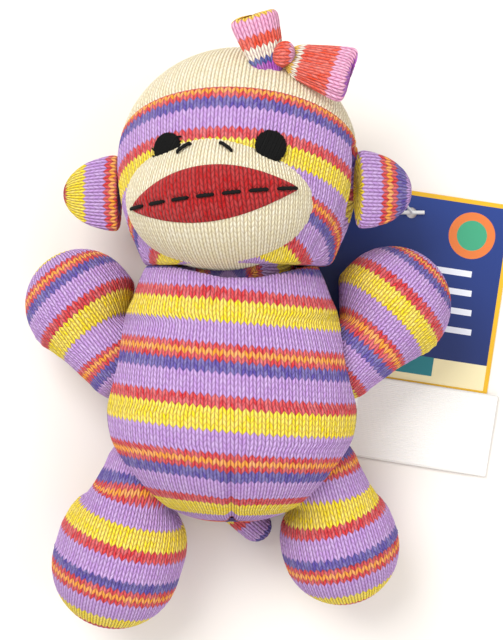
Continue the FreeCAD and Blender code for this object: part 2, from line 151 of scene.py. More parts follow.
YELLOW = colour("FFE400")
RED = colour("DC2A34")
LAVENDER = colour("C498DC")
BLUE = colour("5A46A8")
ORANGE = colour("FFA21C")
SOCK_STRIPES = ((YELLOW, 4), (RED, 2), (LAVENDER, 4), (BLUE, 2), (RED, 1),
                (ORANGE, 1), (RED, 1), (LAVENDER, 4))
V_SLOPE = 1.5            # how far a leg of a stitch climbs, in rows


def stitch_shape(graph):
    """Row, column and height of the stocking stitch at a point of the Knit layer."""
    across, along = graph.attribute("Knit")
    arm = (across.math("FRACT") - 0.5).math("ABSOLUTE")
    level = along + arm * V_SLOPE
    row = level.math("FLOOR")
    part = level - row
    leg = (arm - 0.25) * 4
    ridge = 1 - leg * leg * 0.92
    ends = 1 - ((part * 2 - 1) ** 2) ** 2
    height = (ridge * (ends * 0.6 + 0.4)).math("MAXIMUM", 0)
    column = (across * 2).math("FLOOR")
    return row, column, height


def stripes(graph, row, bands):
    """Colour of a row of stitches, from bands that repeat."""
    total = sum(count for _, count in bands)
    ramp = graph.nodes.new("ShaderNodeValToRGB")
    ramp.color_ramp.interpolation = "CONSTANT"
    elements = ramp.color_ramp.elements
    place = 0
    for index, (shade, count) in enumerate(bands):
        if index == 0:
            element = elements[0]
        elif index == 1:
            element = elements[1]
        else:
            element = elements.new(place / total)
        element.position = place / total
        element.color = shade
        place += count
    wrapped = ((row + 0.5) / total).math("FRACT")
    graph.connect(ramp.inputs[0], wrapped)
    return Shade(graph, ramp.outputs[0])


def knit_material(name, bands, pale=0.3, gap_shade=(0.36, 0.22, 0.36, 1.0), paler=0.45):
    """Knitted wool in stripes: two-legged stitches and uneven strands, with painted shade in the
    gaps between strands.
    """
    graph = Graph(name)
    row, column, height = stitch_shape(graph)
    base = stripes(graph, row, bands)
    cell = graph.node("ShaderNodeCombineXYZ", {}, [column, row, 0.0])
    chance = graph.node("ShaderNodeTexWhiteNoise", {"noise_dimensions": "3D"}, {"Vector": cell})
    place = graph.node("ShaderNodeTexCoord", {}, (), "Object")
    fibre = graph.node("ShaderNodeTexNoise", {},
                       {"Vector": place, "Scale": 900.0, "Detail": 4.0, "Roughness": 0.7})
    light = (chance * 0.5 + fibre * 0.9 - 0.35).math("MAXIMUM", 0) * pale * 2
    fleck = graph.mix(paler, base, (1.0, 1.0, 1.0, 1.0))
    yarn = graph.mix(light.math("MINIMUM", 0.75), base, fleck)
    worn = graph.mix(0.85, yarn, (fibre * 0.4 + 0.8), "MULTIPLY")
    # Painted shade: the yarn is darkened by the gap colour multiplied in, most where the stitch
    # height is low, in the gaps between strands.
    depth = (1 - height).math("POWER", 1.6)
    finished = graph.mix(depth * 0.95, worn, graph.mix(1.0, worn, gap_shade, "MULTIPLY"))
    graph.connect(graph.shader.inputs["Base Color"], finished)
    graph.shader.inputs["Roughness"].default_value = 0.92
    graph.shader.inputs["Sheen Weight"].default_value = 0.08
    graph.shader.inputs["Specular IOR Level"].default_value = 0.2
    ply = (fibre - 0.5) * 0.35
    graph.bump(height + ply, 0.55 * MM)
    return graph.material


striped_knit = knit_material("striped_knit", SOCK_STRIPES)


def surface_of(nodes):
    """One search tree over several CAD nodes."""
    points = []
    faces = []
    for name in nodes:
        node = frame["nodes"][name]
        first = len(points)
        points += [node.matrix_world @ vertex.co for vertex in node.data.vertices]
        faces += [[first + index for index in face.vertices] for face in node.data.polygons]
    return BVHTree.FromPolygons(points, faces)


def body_axes(along, front):
    """Rows are the side, lengthwise and front directions of a piece."""
    along = np.array(along, float) / np.linalg.norm(along)
    front = np.array(front, float) - along * np.dot(front, along)
    front /= np.linalg.norm(front)
    return np.array((np.cross(along, front), along, front))


def rounded_grid(half, rows, columns):
    """Points of an ellipsoid: rows run from its low pole to its top one, columns around."""
    polar = np.linspace(0, math.pi, rows)[:, None]
    around = (-math.pi + 2 * math.pi * np.arange(columns) / columns)[None, :]
    return np.stack((half[0] * np.sin(polar) * np.sin(around),
                     -half[1] * np.cos(polar) * np.ones_like(around),
                     half[2] * np.sin(polar) * np.cos(around)), axis=-1)


def softened(values, passes):
    """Even out a grid that closes around its columns."""
    for _ in range(passes):
        values = (np.roll(values, 1, 1) + 2 * values + np.roll(values, -1, 1)) / 4
        longer = np.concatenate((values[:1], values, values[-1:]))
        values = (longer[:-2] + 2 * longer[1:-1] + longer[2:]) / 4
    return values


def wrap(nodes, middle, axes, half, passes=5):
    """A grid of points that lies on the outside of some CAD nodes, seen from their middle."""
    length = math.pi * (half[0] + half[2])
    rows = int(math.pi * half[1] / MESH_STEP) + 1
    columns = 4 * int(length / MESH_STEP / 4)
    ways = rounded_grid(half, rows, columns) @ axes
    ways /= np.linalg.norm(ways, axis=-1, keepdims=True)
    tree = surface_of(nodes)
    reach = np.zeros((rows, columns))
    start = Vector(middle)
    last = half[0]
    for row in range(rows):
        for column in range(columns):
            way = Vector(ways[row, column])
            hit = tree.ray_cast(start + way * RAY_START, -way, RAY_START)[3]
            if hit is not None:
                last = RAY_START - hit
            reach[row, column] = last
    reach = softened(reach, passes)
    reach[0] = reach[0].mean()
    reach[-1] = reach[-1].mean()
    return np.array(middle) + ways * reach[..., None]


def outward_ways(points):
    """Unit normals of a closed grid."""
    around = np.roll(points, -1, 1) - np.roll(points, 1, 1)
    along = np.gradient(points, axis=0)
    normals = np.cross(around, along)
    middle = points.mean(axis=(0, 1))
    normals /= np.maximum(np.linalg.norm(normals, axis=-1, keepdims=True), 1e-12)
    if ((points - middle) * normals).sum() < 0:
        normals = -normals
    for end, beside in ((0, 1), (-1, -2)):
        pole = normals[beside].mean(axis=0)
        normals[end] = pole / np.linalg.norm(pole)
    return normals


def arcs_along(points):
    """Distance of each row from the first, down the middle of the front and of the back."""
    columns = points.shape[1]
    chosen = points[:, [0, columns // 2]]
    steps = np.linalg.norm(np.diff(chosen, axis=0), axis=-1).mean(axis=1)
    return np.concatenate(([0.0], np.cumsum(steps)))


def arcs_around(points, narrowing):
    """Distance of each column from the middle of the front and from the middle of the back."""
    columns = points.shape[1]
    closed = np.concatenate((points, points[:, :1]), axis=1)
    steps = np.linalg.norm(np.diff(closed, axis=1), axis=-1)
    lengths = steps.sum(axis=1)
    widest = steps[lengths.argmax()]
    run = np.concatenate(([0.0], np.cumsum(widest)))
    front = run[:-1] - run[columns // 2]
    half_round = lengths.max() / 2
    back = np.where(run[:-1] > half_round, run[:-1] - 2 * half_round, run[:-1])
    share = 1 - narrowing + narrowing * (lengths / lengths.max())
    return front[None, :] * share[:, None], back[None, :] * share[:, None]


def stitch_relief(across, along, depth):
    """How deep a knitted surface lies below its highest stitches."""
    part = across - np.floor(across)
    arm = np.abs(part - 0.5)
    level = along + arm * V_SLOPE
    place = level - np.floor(level)
    between_wales = (2 * arm) ** 3
    between_rows = (2 * place - 1) ** 4
    return -depth * (between_wales * 0.75 + between_rows * 0.25)


def grid_mesh(name, points, layer_front, layer_back, keep_rows=None):
    """A mesh over a grid whose end rows are poles, with its knit coordinates at each corner."""
    rows, columns = points.shape[:2]
    low, high = keep_rows or (0, rows - 1)
    index = np.arange(rows * columns).reshape(rows, columns)
    row, column = np.meshgrid(np.arange(low, high), np.arange(columns), indexing="ij")
    beside = (column + 1) % columns
    corner_rows = np.stack((row, row, row + 1, row + 1), axis=-1).reshape(-1, 4)
    corner_columns = np.stack((column, beside, beside, column), axis=-1).reshape(-1, 4)
    front = ((column >= columns // 4) & (column < columns * 3 // 4)).reshape(-1)
    corners = index[corner_rows, corner_columns]
    layer = np.where(front[:, None, None], layer_front[corner_rows, corner_columns],
                     layer_back[corner_rows, corner_columns])
    at_low = corner_rows[:, 0] == 0
    at_high = corner_rows[:, 2] == rows - 1
    corners = np.where(at_low[:, None] & (corner_rows == 0), index[0, 0], corners)
    corners = np.where(at_high[:, None] & (corner_rows == rows - 1), index[-1, 0], corners)
    keep = np.ones(corners.shape, bool)
    keep[at_low, 1] = False
    keep[at_high, 3] = False
    used, flat = np.unique(corners[keep], return_inverse=True)
    sizes = keep.sum(axis=1)
    mesh = bpy.data.meshes.new(name)
    mesh.vertices.add(len(used))
    mesh.vertices.foreach_set("co", points.reshape(-1, 3)[used].astype(np.float32).ravel())
    mesh.loops.add(len(flat))
    mesh.loops.foreach_set("vertex_index", flat.astype(np.int32).ravel())
    mesh.polygons.add(len(sizes))
    starts = np.concatenate(([0], np.cumsum(sizes)[:-1]))
    mesh.polygons.foreach_set("loop_start", starts.astype(np.int32))
    mesh.polygons.foreach_set("use_smooth", np.ones(len(sizes), bool))
    knit = mesh.uv_layers.new(name="Knit")
    knit.data.foreach_set("uv", layer[keep].astype(np.float32).ravel())
    mesh.update(calc_edges=True)
    mesh.validate()
    return mesh


def add_piece(mesh, body, nodes, material):
    """Put a finished mesh into the scene in place of CAD nodes, moving with a CAD body."""
    piece = bpy.data.objects.new(mesh.name, mesh)
    bpy.context.scene.collection.objects.link(piece)
    mesh.materials.append(material)
    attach(piece, body)
    if nodes:
        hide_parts(*nodes)
    return piece


SEAM_WIDTH = 1.1 * MM


def knitted(points, first_row=0.0, way=1, tilt=0.0, narrowing=0.7,
            depth=0.35 * MM, seam_depth=0.9 * MM, pull=None):
    """Give a smooth grid its stitches: coordinates for both panels, and their relief."""
    along = arcs_along(points) * way / COURSE + first_row
    along = along[:, None] + (points @ X_WAY) * tilt / COURSE
    if pull is not None:
        along = along + pull(points)
    front, back = arcs_around(points, narrowing)
    columns = points.shape[1]
    place = np.arange(columns)
    is_front = (place >= columns // 4) & (place <= columns * 3 // 4)
    across = np.where(is_front[None, :], front, back) / WALE + 0.5
    from_middle = np.abs(front)
    seam_place = from_middle[:, [columns // 4]]
    from_seam = np.abs(from_middle - seam_place)
    closed_ends = np.sin(np.linspace(0, math.pi, len(points)))[:, None] ** 0.5
    relief = stitch_relief(across, along, depth) * closed_ends
    relief -= seam_depth * np.exp(-(from_seam / SEAM_WIDTH) ** 2) * closed_ends
    normals = outward_ways(points)
    shaped = points + normals * relief[..., None]
    layer_front = np.stack((front / WALE + 0.5, along), axis=-1)
    layer_back = np.stack((back / WALE + 0.5, along), axis=-1)
    return shaped, layer_front, layer_back


def node_points(*nodes):
    """All vertices of some CAD nodes, in the shared frame."""
    points = []
    for name in nodes:
        node = frame["nodes"][name]
        points += [node.matrix_world @ vertex.co for vertex in node.data.vertices]
    return np.array(points)


def sizes_of(points, axes):
    """Middle and half sizes of points along a piece's own directions."""
    local = points @ axes.T
    low = local.min(axis=0)
    high = local.max(axis=0)
    return ((low + high) / 2) @ axes, (high - low) / 2


TORSO_MIDDLE = np.array((0.0, 0.0, 34.0)) * MM
TORSO_HALF = np.array((42.5, 46.0, 35.0)) * MM
COLLAR_START = 38 * MM         # the fabric above this level puffs up around the neck
COLLAR_RUN = 7 * MM
COLLAR_RISE = 3.6 * MM
NECK_DART = (-6.3 * MM, 35 * MM, 44 * MM)      # side, lower end, upper end
CROTCH_DART = (0.0, -40 * MM, -12 * MM)
NECK_DART_FADE = 5 * MM
CROTCH_DART_FADE = 8 * MM
NECK_DART_ROWS = -0.8          # how far rows of stitches move at the middle of a dart
CROTCH_DART_ROWS = 1.6
DART_PULL_REACH = 4 * MM
DART_WIDTH = 1.3 * MM
DART_FOLD = 1.6 * MM           # depth of the narrow fold, and of the wide hollow around it
DART_HOLLOW = 0.8 * MM
DART_HOLLOW_WIDTHS = 4
TORSO_STRIPE_TILT = 0.09
TORSO_STRIPE_START = -29.3


def dart_share(points, dart):
    """How much a point of the torso's front lies in a dart."""
    _, low, high = dart
    level = points[..., 1]
    inside = (level > low) & (level < high)
    if low < 0:
        fade = np.clip((high - level) / CROTCH_DART_FADE, 0, 1)
    else:
        fade = np.clip((level - low) / NECK_DART_FADE, 0, 1)
    return np.where(points[..., 2] > TORSO_MIDDLE[2], inside * fade, 0)


def dart_pull(points):
    """How many rows the stitches shift towards the two darts."""
    total = 0
    for dart, rows in ((NECK_DART, NECK_DART_ROWS), (CROTCH_DART, CROTCH_DART_ROWS)):
        away = np.abs(points[..., 0] - dart[0])
        total = total + rows * dart_share(points, dart) * np.exp(-away / DART_PULL_REACH)
    return total


def make_torso():
    nodes = ["torso_front_panel", "torso_back_panel", "torso_stuffing"]
    axes = body_axes(Y_WAY, Z_WAY)
    points = wrap(nodes, TORSO_MIDDLE, axes, TORSO_HALF, passes=14)
    collar = np.clip((points[..., 1] - COLLAR_START) / COLLAR_RUN, 0, 1)
    points = points + Y_WAY * (collar * COLLAR_RISE)[..., None]
    normals = outward_ways(points)
    for dart in (NECK_DART, CROTCH_DART):
        away = np.abs(points[..., 0] - dart[0]) / DART_WIDTH
        depth = dart_share(points, dart) * np.exp(-away ** 2) * DART_FOLD
        depth += dart_share(points, dart) * np.exp(-away / DART_HOLLOW_WIDTHS) * DART_HOLLOW
        points = points - normals * depth[..., None]
    shaped, front, back = knitted(points, TORSO_STRIPE_START, tilt=TORSO_STRIPE_TILT,
                                  pull=dart_pull)
    mesh = grid_mesh("torso", shaped, front, back)
    add_piece(mesh, "torso", nodes, striped_knit)


make_torso()

# ================================================================ arms and legs
# Four stuffed bulbs of the same striped knit, each closed in front and behind by side seams.
# Each one's gathered root turns in a dimple of the torso.
ROOT_BALL = 14 * MM
WAIST_FILL = 0.9               # how much of the hollow behind a bulb is rounded out
BULB_INSET = 2 * MM            # a bulb's middle lies this much deeper than half its width
FAR_SHARE = 0.5                # the part of a limb beyond this share of its length is its bulb
LIMB_STRIPES = {"right_arm": 0.0, "left_arm": -5.0, "right_leg": -1.7, "left_leg": 3.0}


def filled_waist(points, root, way):
    """Round out the hollow between a limb's root and its bulb, most on its outer side."""
    along = (points - root) @ way
    spokes = points - root - along[..., None] * way
    radius = np.maximum(np.linalg.norm(spokes, axis=-1), 1e-9)
    bulb_radius = radius.max()
    bulb_place = along.max() - bulb_radius
    share = np.clip(along / bulb_place, 0, 1)
    full = ROOT_BALL + (bulb_radius - ROOT_BALL) * share
    outer = root - TORSO_MIDDLE
    outer = outer - way * (outer @ way)
    outer /= np.linalg.norm(outer)
    facing = 0.5 + 0.5 * (spokes @ outer) / radius
    inside = (along > 0) & (along < bulb_place)
    missing = np.maximum(full - radius, 0) * inside * facing * WAIST_FILL
    return points + spokes * (missing / radius)[..., None]


def joint_place(name):
    """A joint's pivot in the shared frame."""
    return next(joint["pos_m"] for joint in frame["joints"] if joint["name"] == name)


def limb_way(cloud, root, tip):
    """Direction of a limb: from its root through the middle of its round end."""
    far = cloud[np.linalg.norm(cloud - root, axis=1) > FAR_SHARE * np.linalg.norm(tip - root)]
    low = far.min(axis=0)
    high = far.max(axis=0)
    return (low + high) / 2 - root


def make_limb(name, first_row):
    nodes = [name + "_front_panel", name + "_back_panel", name + "_stuffing"]
    cloud = node_points(*nodes)
    root = np.array(joint_place(name + "_swing"))
    tip = cloud[np.linalg.norm(cloud - root, axis=1).argmax()]
    axes = body_axes(limb_way(cloud, root, tip), Z_WAY)
    middle, half = sizes_of(cloud, axes)
    bulb = middle + axes[1] * (half[1] - half[0] - BULB_INSET)
    points = filled_waist(wrap(nodes, bulb, axes, half), root, axes[1])
    shaped, front, back = knitted(points, first_row, narrowing=0.8)
    mesh = grid_mesh(name, shaped, front, back)
    add_piece(mesh, name, nodes, striped_knit)


for limb, start in LIMB_STRIPES.items():
    make_limb(limb, start)

# ================================================================ gathered ends
# Small caps of bunched knit that close each stuffed piece where it meets the torso.
# They turn in the dimples between a root ball and the torso's filling.
GATHER_FOLDS = 9
GATHER_DEPTH = 0.12 * MM


def make_gathered_end(node, body):
    """A copy of a cap, with bunched folds that radiate from its middle."""
    source = frame["nodes"][node]
    mesh = source.data.copy()
    mesh.name = node + "_knit"
    mesh.materials.clear()
    points = node_points(node)
    middle = points.mean(axis=0)
    spread = np.linalg.svd(points - middle, full_matrices=False)[2]
    turn = np.arctan2((points - middle) @ spread[1], (points - middle) @ spread[0])
    shaped = points + spread[2] * (GATHER_DEPTH * np.cos(GATHER_FOLDS * turn))[:, None]
    mesh.vertices.foreach_set("co", shaped.astype(np.float32).ravel())
    layer = mesh.uv_layers.new(name="Knit")
    corners = np.zeros(len(mesh.loops), int)
    mesh.loops.foreach_get("vertex_index", corners)
    flat = np.stack(((points - middle) @ spread[0], (points - middle) @ spread[1]), axis=-1)
    layer.data.foreach_set("uv", (flat[corners] / WALE).astype(np.float32).ravel())
    add_piece(mesh, body, [node], striped_knit)


for limb in LIMB_STRIPES:
    make_gathered_end(limb + "_gathered_end", limb + "_root")
make_gathered_end("body_gathered_end", "neck_turn")
make_gathered_end("neck_gathered_end", "neck_tilt")

# ================================================================ head and crown cap
# A stuffed head in striped knit under a cream cap; the cap's edge rises towards the face.
# Both are parted at a ring of the same surface, with a sewn groove between them.
HEAD_MIDDLE = np.array((2.0, 83.0, 37.0)) * MM
NECK = np.array((1.0, 49.0, 35.0)) * MM
FACE_TURN = math.radians(-10)
CAP_SLOPE = math.radians(24)
CAP_LEVEL = 9 * MM
HEAD_HALF = np.array((41.0, 45.0, 36.0)) * MM
HEM_START = 56 * MM            # below this level the fabric puffs down around the neck
HEM_DROP = 2.2 * MM
NECK_BALL = 21 * MM
HEM_EDGE = 1.5 * MM
CAP_GROOVE_WIDTH = 0.9 * MM
CAP_GROOVE_DEPTH = 0.6 * MM
CAP_ROW = 14.0                 # the stripe row that the cap is sewn to
CREAM = colour("F1E6C2")
# The darker colour given with the cream tints the painted shade in the gaps between stitches.
cream_knit = knit_material("cream_knit", ((CREAM, 3), (CREAM, 2)), pale=0.35,
                           gap_shade=(0.62, 0.50, 0.34, 1.0), paler=0.7)


def turned(way):
    """A direction of the face after the head's turn about its upright line."""
    x, y, z = way
    cosine = math.cos(FACE_TURN)
    sine = math.sin(FACE_TURN)
    return np.array((cosine * x + sine * z, y, cosine * z - sine * x))


FACE_SIDE = turned(X_WAY)
FACE_FRONT = turned(Z_WAY)


def make_head():
    nodes = ["head_front_panel", "head_back_panel", "crown_cap", "head_stuffing"]
    upright = turned((0.0, math.cos(CAP_SLOPE), -math.sin(CAP_SLOPE)))
    axes = body_axes(upright, FACE_FRONT)
    points = wrap(nodes, HEAD_MIDDLE, axes, HEAD_HALF, passes=10)
    hem = np.clip((HEM_START - points[..., 1]) / COLLAR_RUN, 0, 1)
    hem *= np.clip((np.linalg.norm(points - NECK, axis=-1) - NECK_BALL) / HEM_EDGE, 0, 1)
    points = points - Y_WAY * (hem * HEM_DROP)[..., None]
    heights = ((points - HEAD_MIDDLE) @ upright).mean(axis=1)
    edge = int(np.argmin(np.abs(heights - CAP_LEVEL * math.cos(CAP_SLOPE))))
    steps = arcs_along(points)
    shaped, front, back = knitted(points, CAP_ROW - steps[edge] / COURSE,
                                  seam_depth=0.3 * MM)
    normals = outward_ways(points)
    away = (steps - steps[edge])[:, None, None] / CAP_GROOVE_WIDTH
    shaped = shaped - normals * np.exp(-away ** 2) * CAP_GROOVE_DEPTH
    head = grid_mesh("head", shaped, front, back, (0, edge))
    add_piece(head, "head", [nodes[0], nodes[1], nodes[3]], striped_knit)
    cap = grid_mesh("crown", shaped, front, back, (edge, len(points) - 1))
    add_piece(cap, "head", ["crown_cap"], cream_knit)


make_head()

# ================================================================ muzzle
# A cream knitted mound on the lower face, peaked under the nose and stuffed firmly.
# Its edge is turned under and sewn to the head.
MUZZLE_HALF = np.array((32.0, 24.0, 28.0)) * MM
MUZZLE_ASIDE = 2 * MM
MUZZLE_DROP = 12.5 * MM
MUZZLE_FORWARD = 16 * MM
MUZZLE_MIDDLE = (HEAD_MIDDLE - FACE_SIDE * MUZZLE_ASIDE - Y_WAY * MUZZLE_DROP
                 + FACE_FRONT * MUZZLE_FORWARD)
MUZZLE_RIM = math.radians(84)
MUZZLE_PEAK = 1.75       # below 2, the upper outline runs straighter to its peak
FINE_RELIEF = 0.3 * MM   # depth of the stitches on the smaller pieces


def muzzle_place(aside, up, lift=0.0):
    """Point of the muzzle's surface over a place in front of it, raised by a lift."""
    rest = 1 - (aside / MUZZLE_HALF[0]) ** 2 - (up / MUZZLE_HALF[1]) ** 2
    forward = MUZZLE_HALF[2] * np.sqrt(np.maximum(rest, 0.0))
    local = np.stack(np.broadcast_arrays(aside, up, forward), axis=-1)
    outward = local / MUZZLE_HALF ** 2
    outward /= np.linalg.norm(outward, axis=-1, keepdims=True)
    local = local + outward * np.asarray(lift)[..., None]
    return MUZZLE_MIDDLE + local @ np.array((FACE_SIDE, Y_WAY, FACE_FRONT))


def patch_mesh(name, points, layer):
    """A mesh over an open rectangular grid, with its knit coordinates."""
    rows, columns = points.shape[:2]
    index = np.arange(rows * columns).reshape(rows, columns)
    faces = np.stack((index[:-1, :-1], index[:-1, 1:], index[1:, 1:], index[1:, :-1]), axis=-1)
    faces = faces.reshape(-1, 4)
    mesh = bpy.data.meshes.new(name)
    mesh.from_pydata(points.reshape(-1, 3).tolist(), [], faces.tolist())
    mesh.polygons.foreach_set("use_smooth", np.ones(len(faces), bool))
    knit = mesh.uv_layers.new(name="Knit")
    knit.data.foreach_set("uv", layer.reshape(-1, 2)[faces.ravel()].astype(np.float32).ravel())
    mesh.update()
    return mesh


def make_muzzle():
    steps = int(2 * MUZZLE_RIM * MUZZLE_HALF[0] / MESH_STEP)
    across, up = np.meshgrid(np.linspace(-1, 1, steps), np.linspace(-1, 1, steps))
    disc_x = across * np.sqrt(1 - up ** 2 / 2)
    disc_y = up * np.sqrt(1 - across ** 2 / 2)
    radius = np.hypot(disc_x, disc_y)
    turn = np.arctan2(disc_y, disc_x)
    arc = radius * MUZZLE_RIM
    power = np.where(disc_y > 0, MUZZLE_PEAK, 2.0)
    outline = (np.abs(np.cos(turn)) ** power + np.abs(np.sin(turn)) ** power) ** (-1 / power)
    local = np.stack((MUZZLE_HALF[0] * np.sin(arc) * np.cos(turn) * outline,
                      MUZZLE_HALF[1] * np.sin(arc) * np.sin(turn) * outline,
                      MUZZLE_HALF[2] * np.cos(arc)), axis=-1)
    normals = local / MUZZLE_HALF ** 2
    normals /= np.linalg.norm(normals, axis=-1, keepdims=True)
    stitches = MUZZLE_HALF[0] * arc * np.cos(turn) / WALE
    courses = MUZZLE_HALF[1] * arc * np.sin(turn) / COURSE
    relief = stitch_relief(stitches, courses, FINE_RELIEF)
    local = local + normals * relief[..., None]
    points = MUZZLE_MIDDLE + local @ np.array((FACE_SIDE, Y_WAY, FACE_FRONT))
    mesh = patch_mesh("muzzle", points, np.stack((stitches, courses), axis=-1))
    add_piece(mesh, "head", ["muzzle_panel", "muzzle_stuffing"], cream_knit)


make_muzzle()

# ================================================================ lips and face stitches
# A lens of red ribbed knit appliquéd to the muzzle, with a running stitch of black yarn
# along the mouth and two slanted stitches for the nose.
LIPS_HALF_WIDTH = 28 * MM
LIPS_RISE = 9.5 * MM
LIPS_FALL = 8 * MM
LIPS_THICKNESS = 0.95 * MM
LIPS_ROWS = 46
LIPS_LIFT = 0.1 * MM
LIPS_CREASE = 0.45 * MM
LIPS_CREASE_WIDTH = 1.1 * MM
THREAD = 1.2 * MM
MOUTH_TILT = math.radians(6)
MOUTH_DROP = 1.5 * MM
MOUTH_STITCHES = 7
MOUTH_STITCH_HALF = 2.7 * MM
MOUTH_STITCH_SINK = 0.5 * MM
NOSTRIL_ASIDE = 6.75 * MM
NOSTRIL_SHIFT = -1.5 * MM
NOSTRIL_RISE = 14 * MM
NOSTRIL_HALF = 2.6 * MM
NOSTRIL_SLANT = math.radians(35)
THREAD_SIDES = 10
THREAD_TWIST = 0.9
LIP_RED = colour("B80C10")
# The darker colour given with the red tints the painted shade in the gaps between stitches.
red_lip_knit = knit_material("red_lip_knit", ((LIP_RED, 3), (LIP_RED, 2)), pale=0.14,
                             gap_shade=(0.20, 0.10, 0.12, 1.0), paler=0.25)


def mouth_place(aside, up):
    """Turn and lower a place measured from the middle of the mouth."""
    cosine = math.cos(MOUTH_TILT)
    sine = math.sin(MOUTH_TILT)
    return aside * cosine - up * sine, aside * sine + up * cosine - MOUTH_DROP


def make_lips():
    columns = int(2 * LIPS_HALF_WIDTH / (MESH_STEP * 0.7))
    along, height = np.meshgrid(np.linspace(-1, 1, columns), np.linspace(-1, 1, LIPS_ROWS))
    opening = 1 - along ** 2
    reach = np.where(height > 0, LIPS_RISE, LIPS_FALL)
    aside = along * LIPS_HALF_WIDTH
    up = height * opening * reach
    stitches = aside / WALE
    courses = up / COURSE
    edge = (1 - height ** 6) * (1 - along ** 10)
    crease = LIPS_CREASE * np.exp(-(up / LIPS_CREASE_WIDTH) ** 2)
    lift = LIPS_LIFT + LIPS_THICKNESS * edge - crease
    lift = lift + stitch_relief(stitches, courses, FINE_RELIEF) * edge
    points = muzzle_place(*mouth_place(aside, up), lift)
    mesh = patch_mesh("lips_knit", points, np.stack((stitches, courses), axis=-1))
    add_piece(mesh, "head", ["lips"], red_lip_knit)


def thread_material(name, shade):
    """Thin fuzzy thread whose colour is lighter along some of its fibres."""
    graph = Graph(name)
    place = graph.node("ShaderNodeTexCoord", {}, (), "Object")
    fibre = graph.node("ShaderNodeTexNoise", {}, {"Vector": place, "Scale": 1600.0, "Detail": 3.0})
    tone = graph.mix(fibre, shade, tuple(part * 1.6 + 0.002 for part in shade[:3]) + (1.0,))
    graph.connect(graph.shader.inputs["Base Color"], tone)
    graph.shader.inputs["Roughness"].default_value = 0.85
    graph.shader.inputs["Specular IOR Level"].default_value = 0.2
    graph.bump(fibre, 0.2 * MM)
    return graph.material


def tube(path, radius, sides=8, twist=0.0):
    """Points and faces of a round thread along a path, closed at both ends."""
    path = np.asarray(path)
    ways = np.gradient(path, axis=0)
    ways /= np.linalg.norm(ways, axis=1, keepdims=True)
    helper = Z_WAY if abs(ways[0, 2]) < 0.8 else X_WAY
    side = np.cross(ways, helper)
    side /= np.linalg.norm(side, axis=1, keepdims=True)
    other = np.cross(ways, side)
    turn = 2 * math.pi * np.arange(sides) / sides
    count = len(path)
    taper = np.clip(np.sin(np.linspace(0.12, math.pi - 0.12, count)) * 3, 0, 1) ** 0.5
    phase = twist * np.arange(count)[:, None] + turn[None, :]
    size = radius * taper[:, None] * (1 + 0.12 * np.cos(2 * phase) * bool(twist))
    ring = (path[:, None, :] + size[..., None] * (np.cos(turn)[None, :, None] * side[:, None, :]
            + np.sin(turn)[None, :, None] * other[:, None, :]))
    points = ring.reshape(-1, 3).tolist()
    faces = [(row * sides + at, row * sides + (at + 1) % sides,
              (row + 1) * sides + (at + 1) % sides, (row + 1) * sides + at)
             for row in range(count - 1) for at in range(sides)]
    faces.append(tuple(range(sides))[::-1])
    faces.append(tuple((count - 1) * sides + at for at in range(sides)))
    return points, faces


def threads_mesh(name, paths, radius, sides=8, twist=0.0):
    """One mesh of several threads."""
    points = []
    faces = []
    for path in paths:
        more, rings = tube(path, radius, sides, twist)
        faces += [tuple(len(points) + index for index in face) for face in rings]
        points += more
    mesh = bpy.data.meshes.new(name)
    mesh.from_pydata(points, [], faces)
    mesh.polygons.foreach_set("use_smooth", np.ones(len(faces), bool))
    mesh.update()
    return mesh


black_thread = thread_material("black_thread", colour("0C0B0B"))


def face_stitch(aside, up, half_length, slant, lift):
    """Path of one straight stitch over the muzzle, whose ends go down into the knit."""
    share = np.linspace(-1, 1, 13)
    across = aside + share * half_length * math.cos(slant)
    height = up + share * half_length * math.sin(slant)
    raised = lift + THREAD / 2 - (share ** 6) * THREAD * 0.7
    return muzzle_place(across, height, raised)


def make_face_stitches():
    pitch = 2 * LIPS_HALF_WIDTH / MOUTH_STITCHES
    mouth = []
    for step in range(MOUTH_STITCHES):
        place = mouth_place(-LIPS_HALF_WIDTH + pitch * (step + 0.5), 0.0)
        mouth.append(face_stitch(*place, MOUTH_STITCH_HALF, MOUTH_TILT,
                                 LIPS_THICKNESS - MOUTH_STITCH_SINK))
    mesh = threads_mesh("mouth_thread", mouth, THREAD / 2, THREAD_SIDES, THREAD_TWIST)
    add_piece(mesh, "head", ["mouth_stitches"], black_thread)
    nose = []
    for side in (-1, 1):
        aside = side * NOSTRIL_ASIDE + NOSTRIL_SHIFT
        nose.append(face_stitch(aside, NOSTRIL_RISE, NOSTRIL_HALF, -NOSTRIL_SLANT * side, 0.0))
    mesh = threads_mesh("nostril_thread", nose, THREAD / 2, THREAD_SIDES, THREAD_TWIST)
    add_piece(mesh, "head", ["nostril_stitches"], black_thread)


make_lips()
make_face_stitches()

# ================================================================ eyes
# Two round patches of black embroidery: three crossed layers of satin stitches over a low
# dome, with a few loose ends of thread.
black_embroidery = thread_material("black_eye_embroidery", colour("080808"))
EYE_RADIUS = 5.0 * MM
EYE_RISE = 1.5 * MM
EYE_SINK = 1.7 * MM            # how far the foot of the dome lies below the middle of the patch
EYE_LAYER = 0.15 * MM
EYE_ANGLES = (math.radians(20), math.radians(110), math.radians(65))
EYE_STRANDS = 19
EYE_STRAND_RADIUS = 0.32 * MM
LOOSE_ENDS = 5
LOOSE_CURL = 0.9 * MM


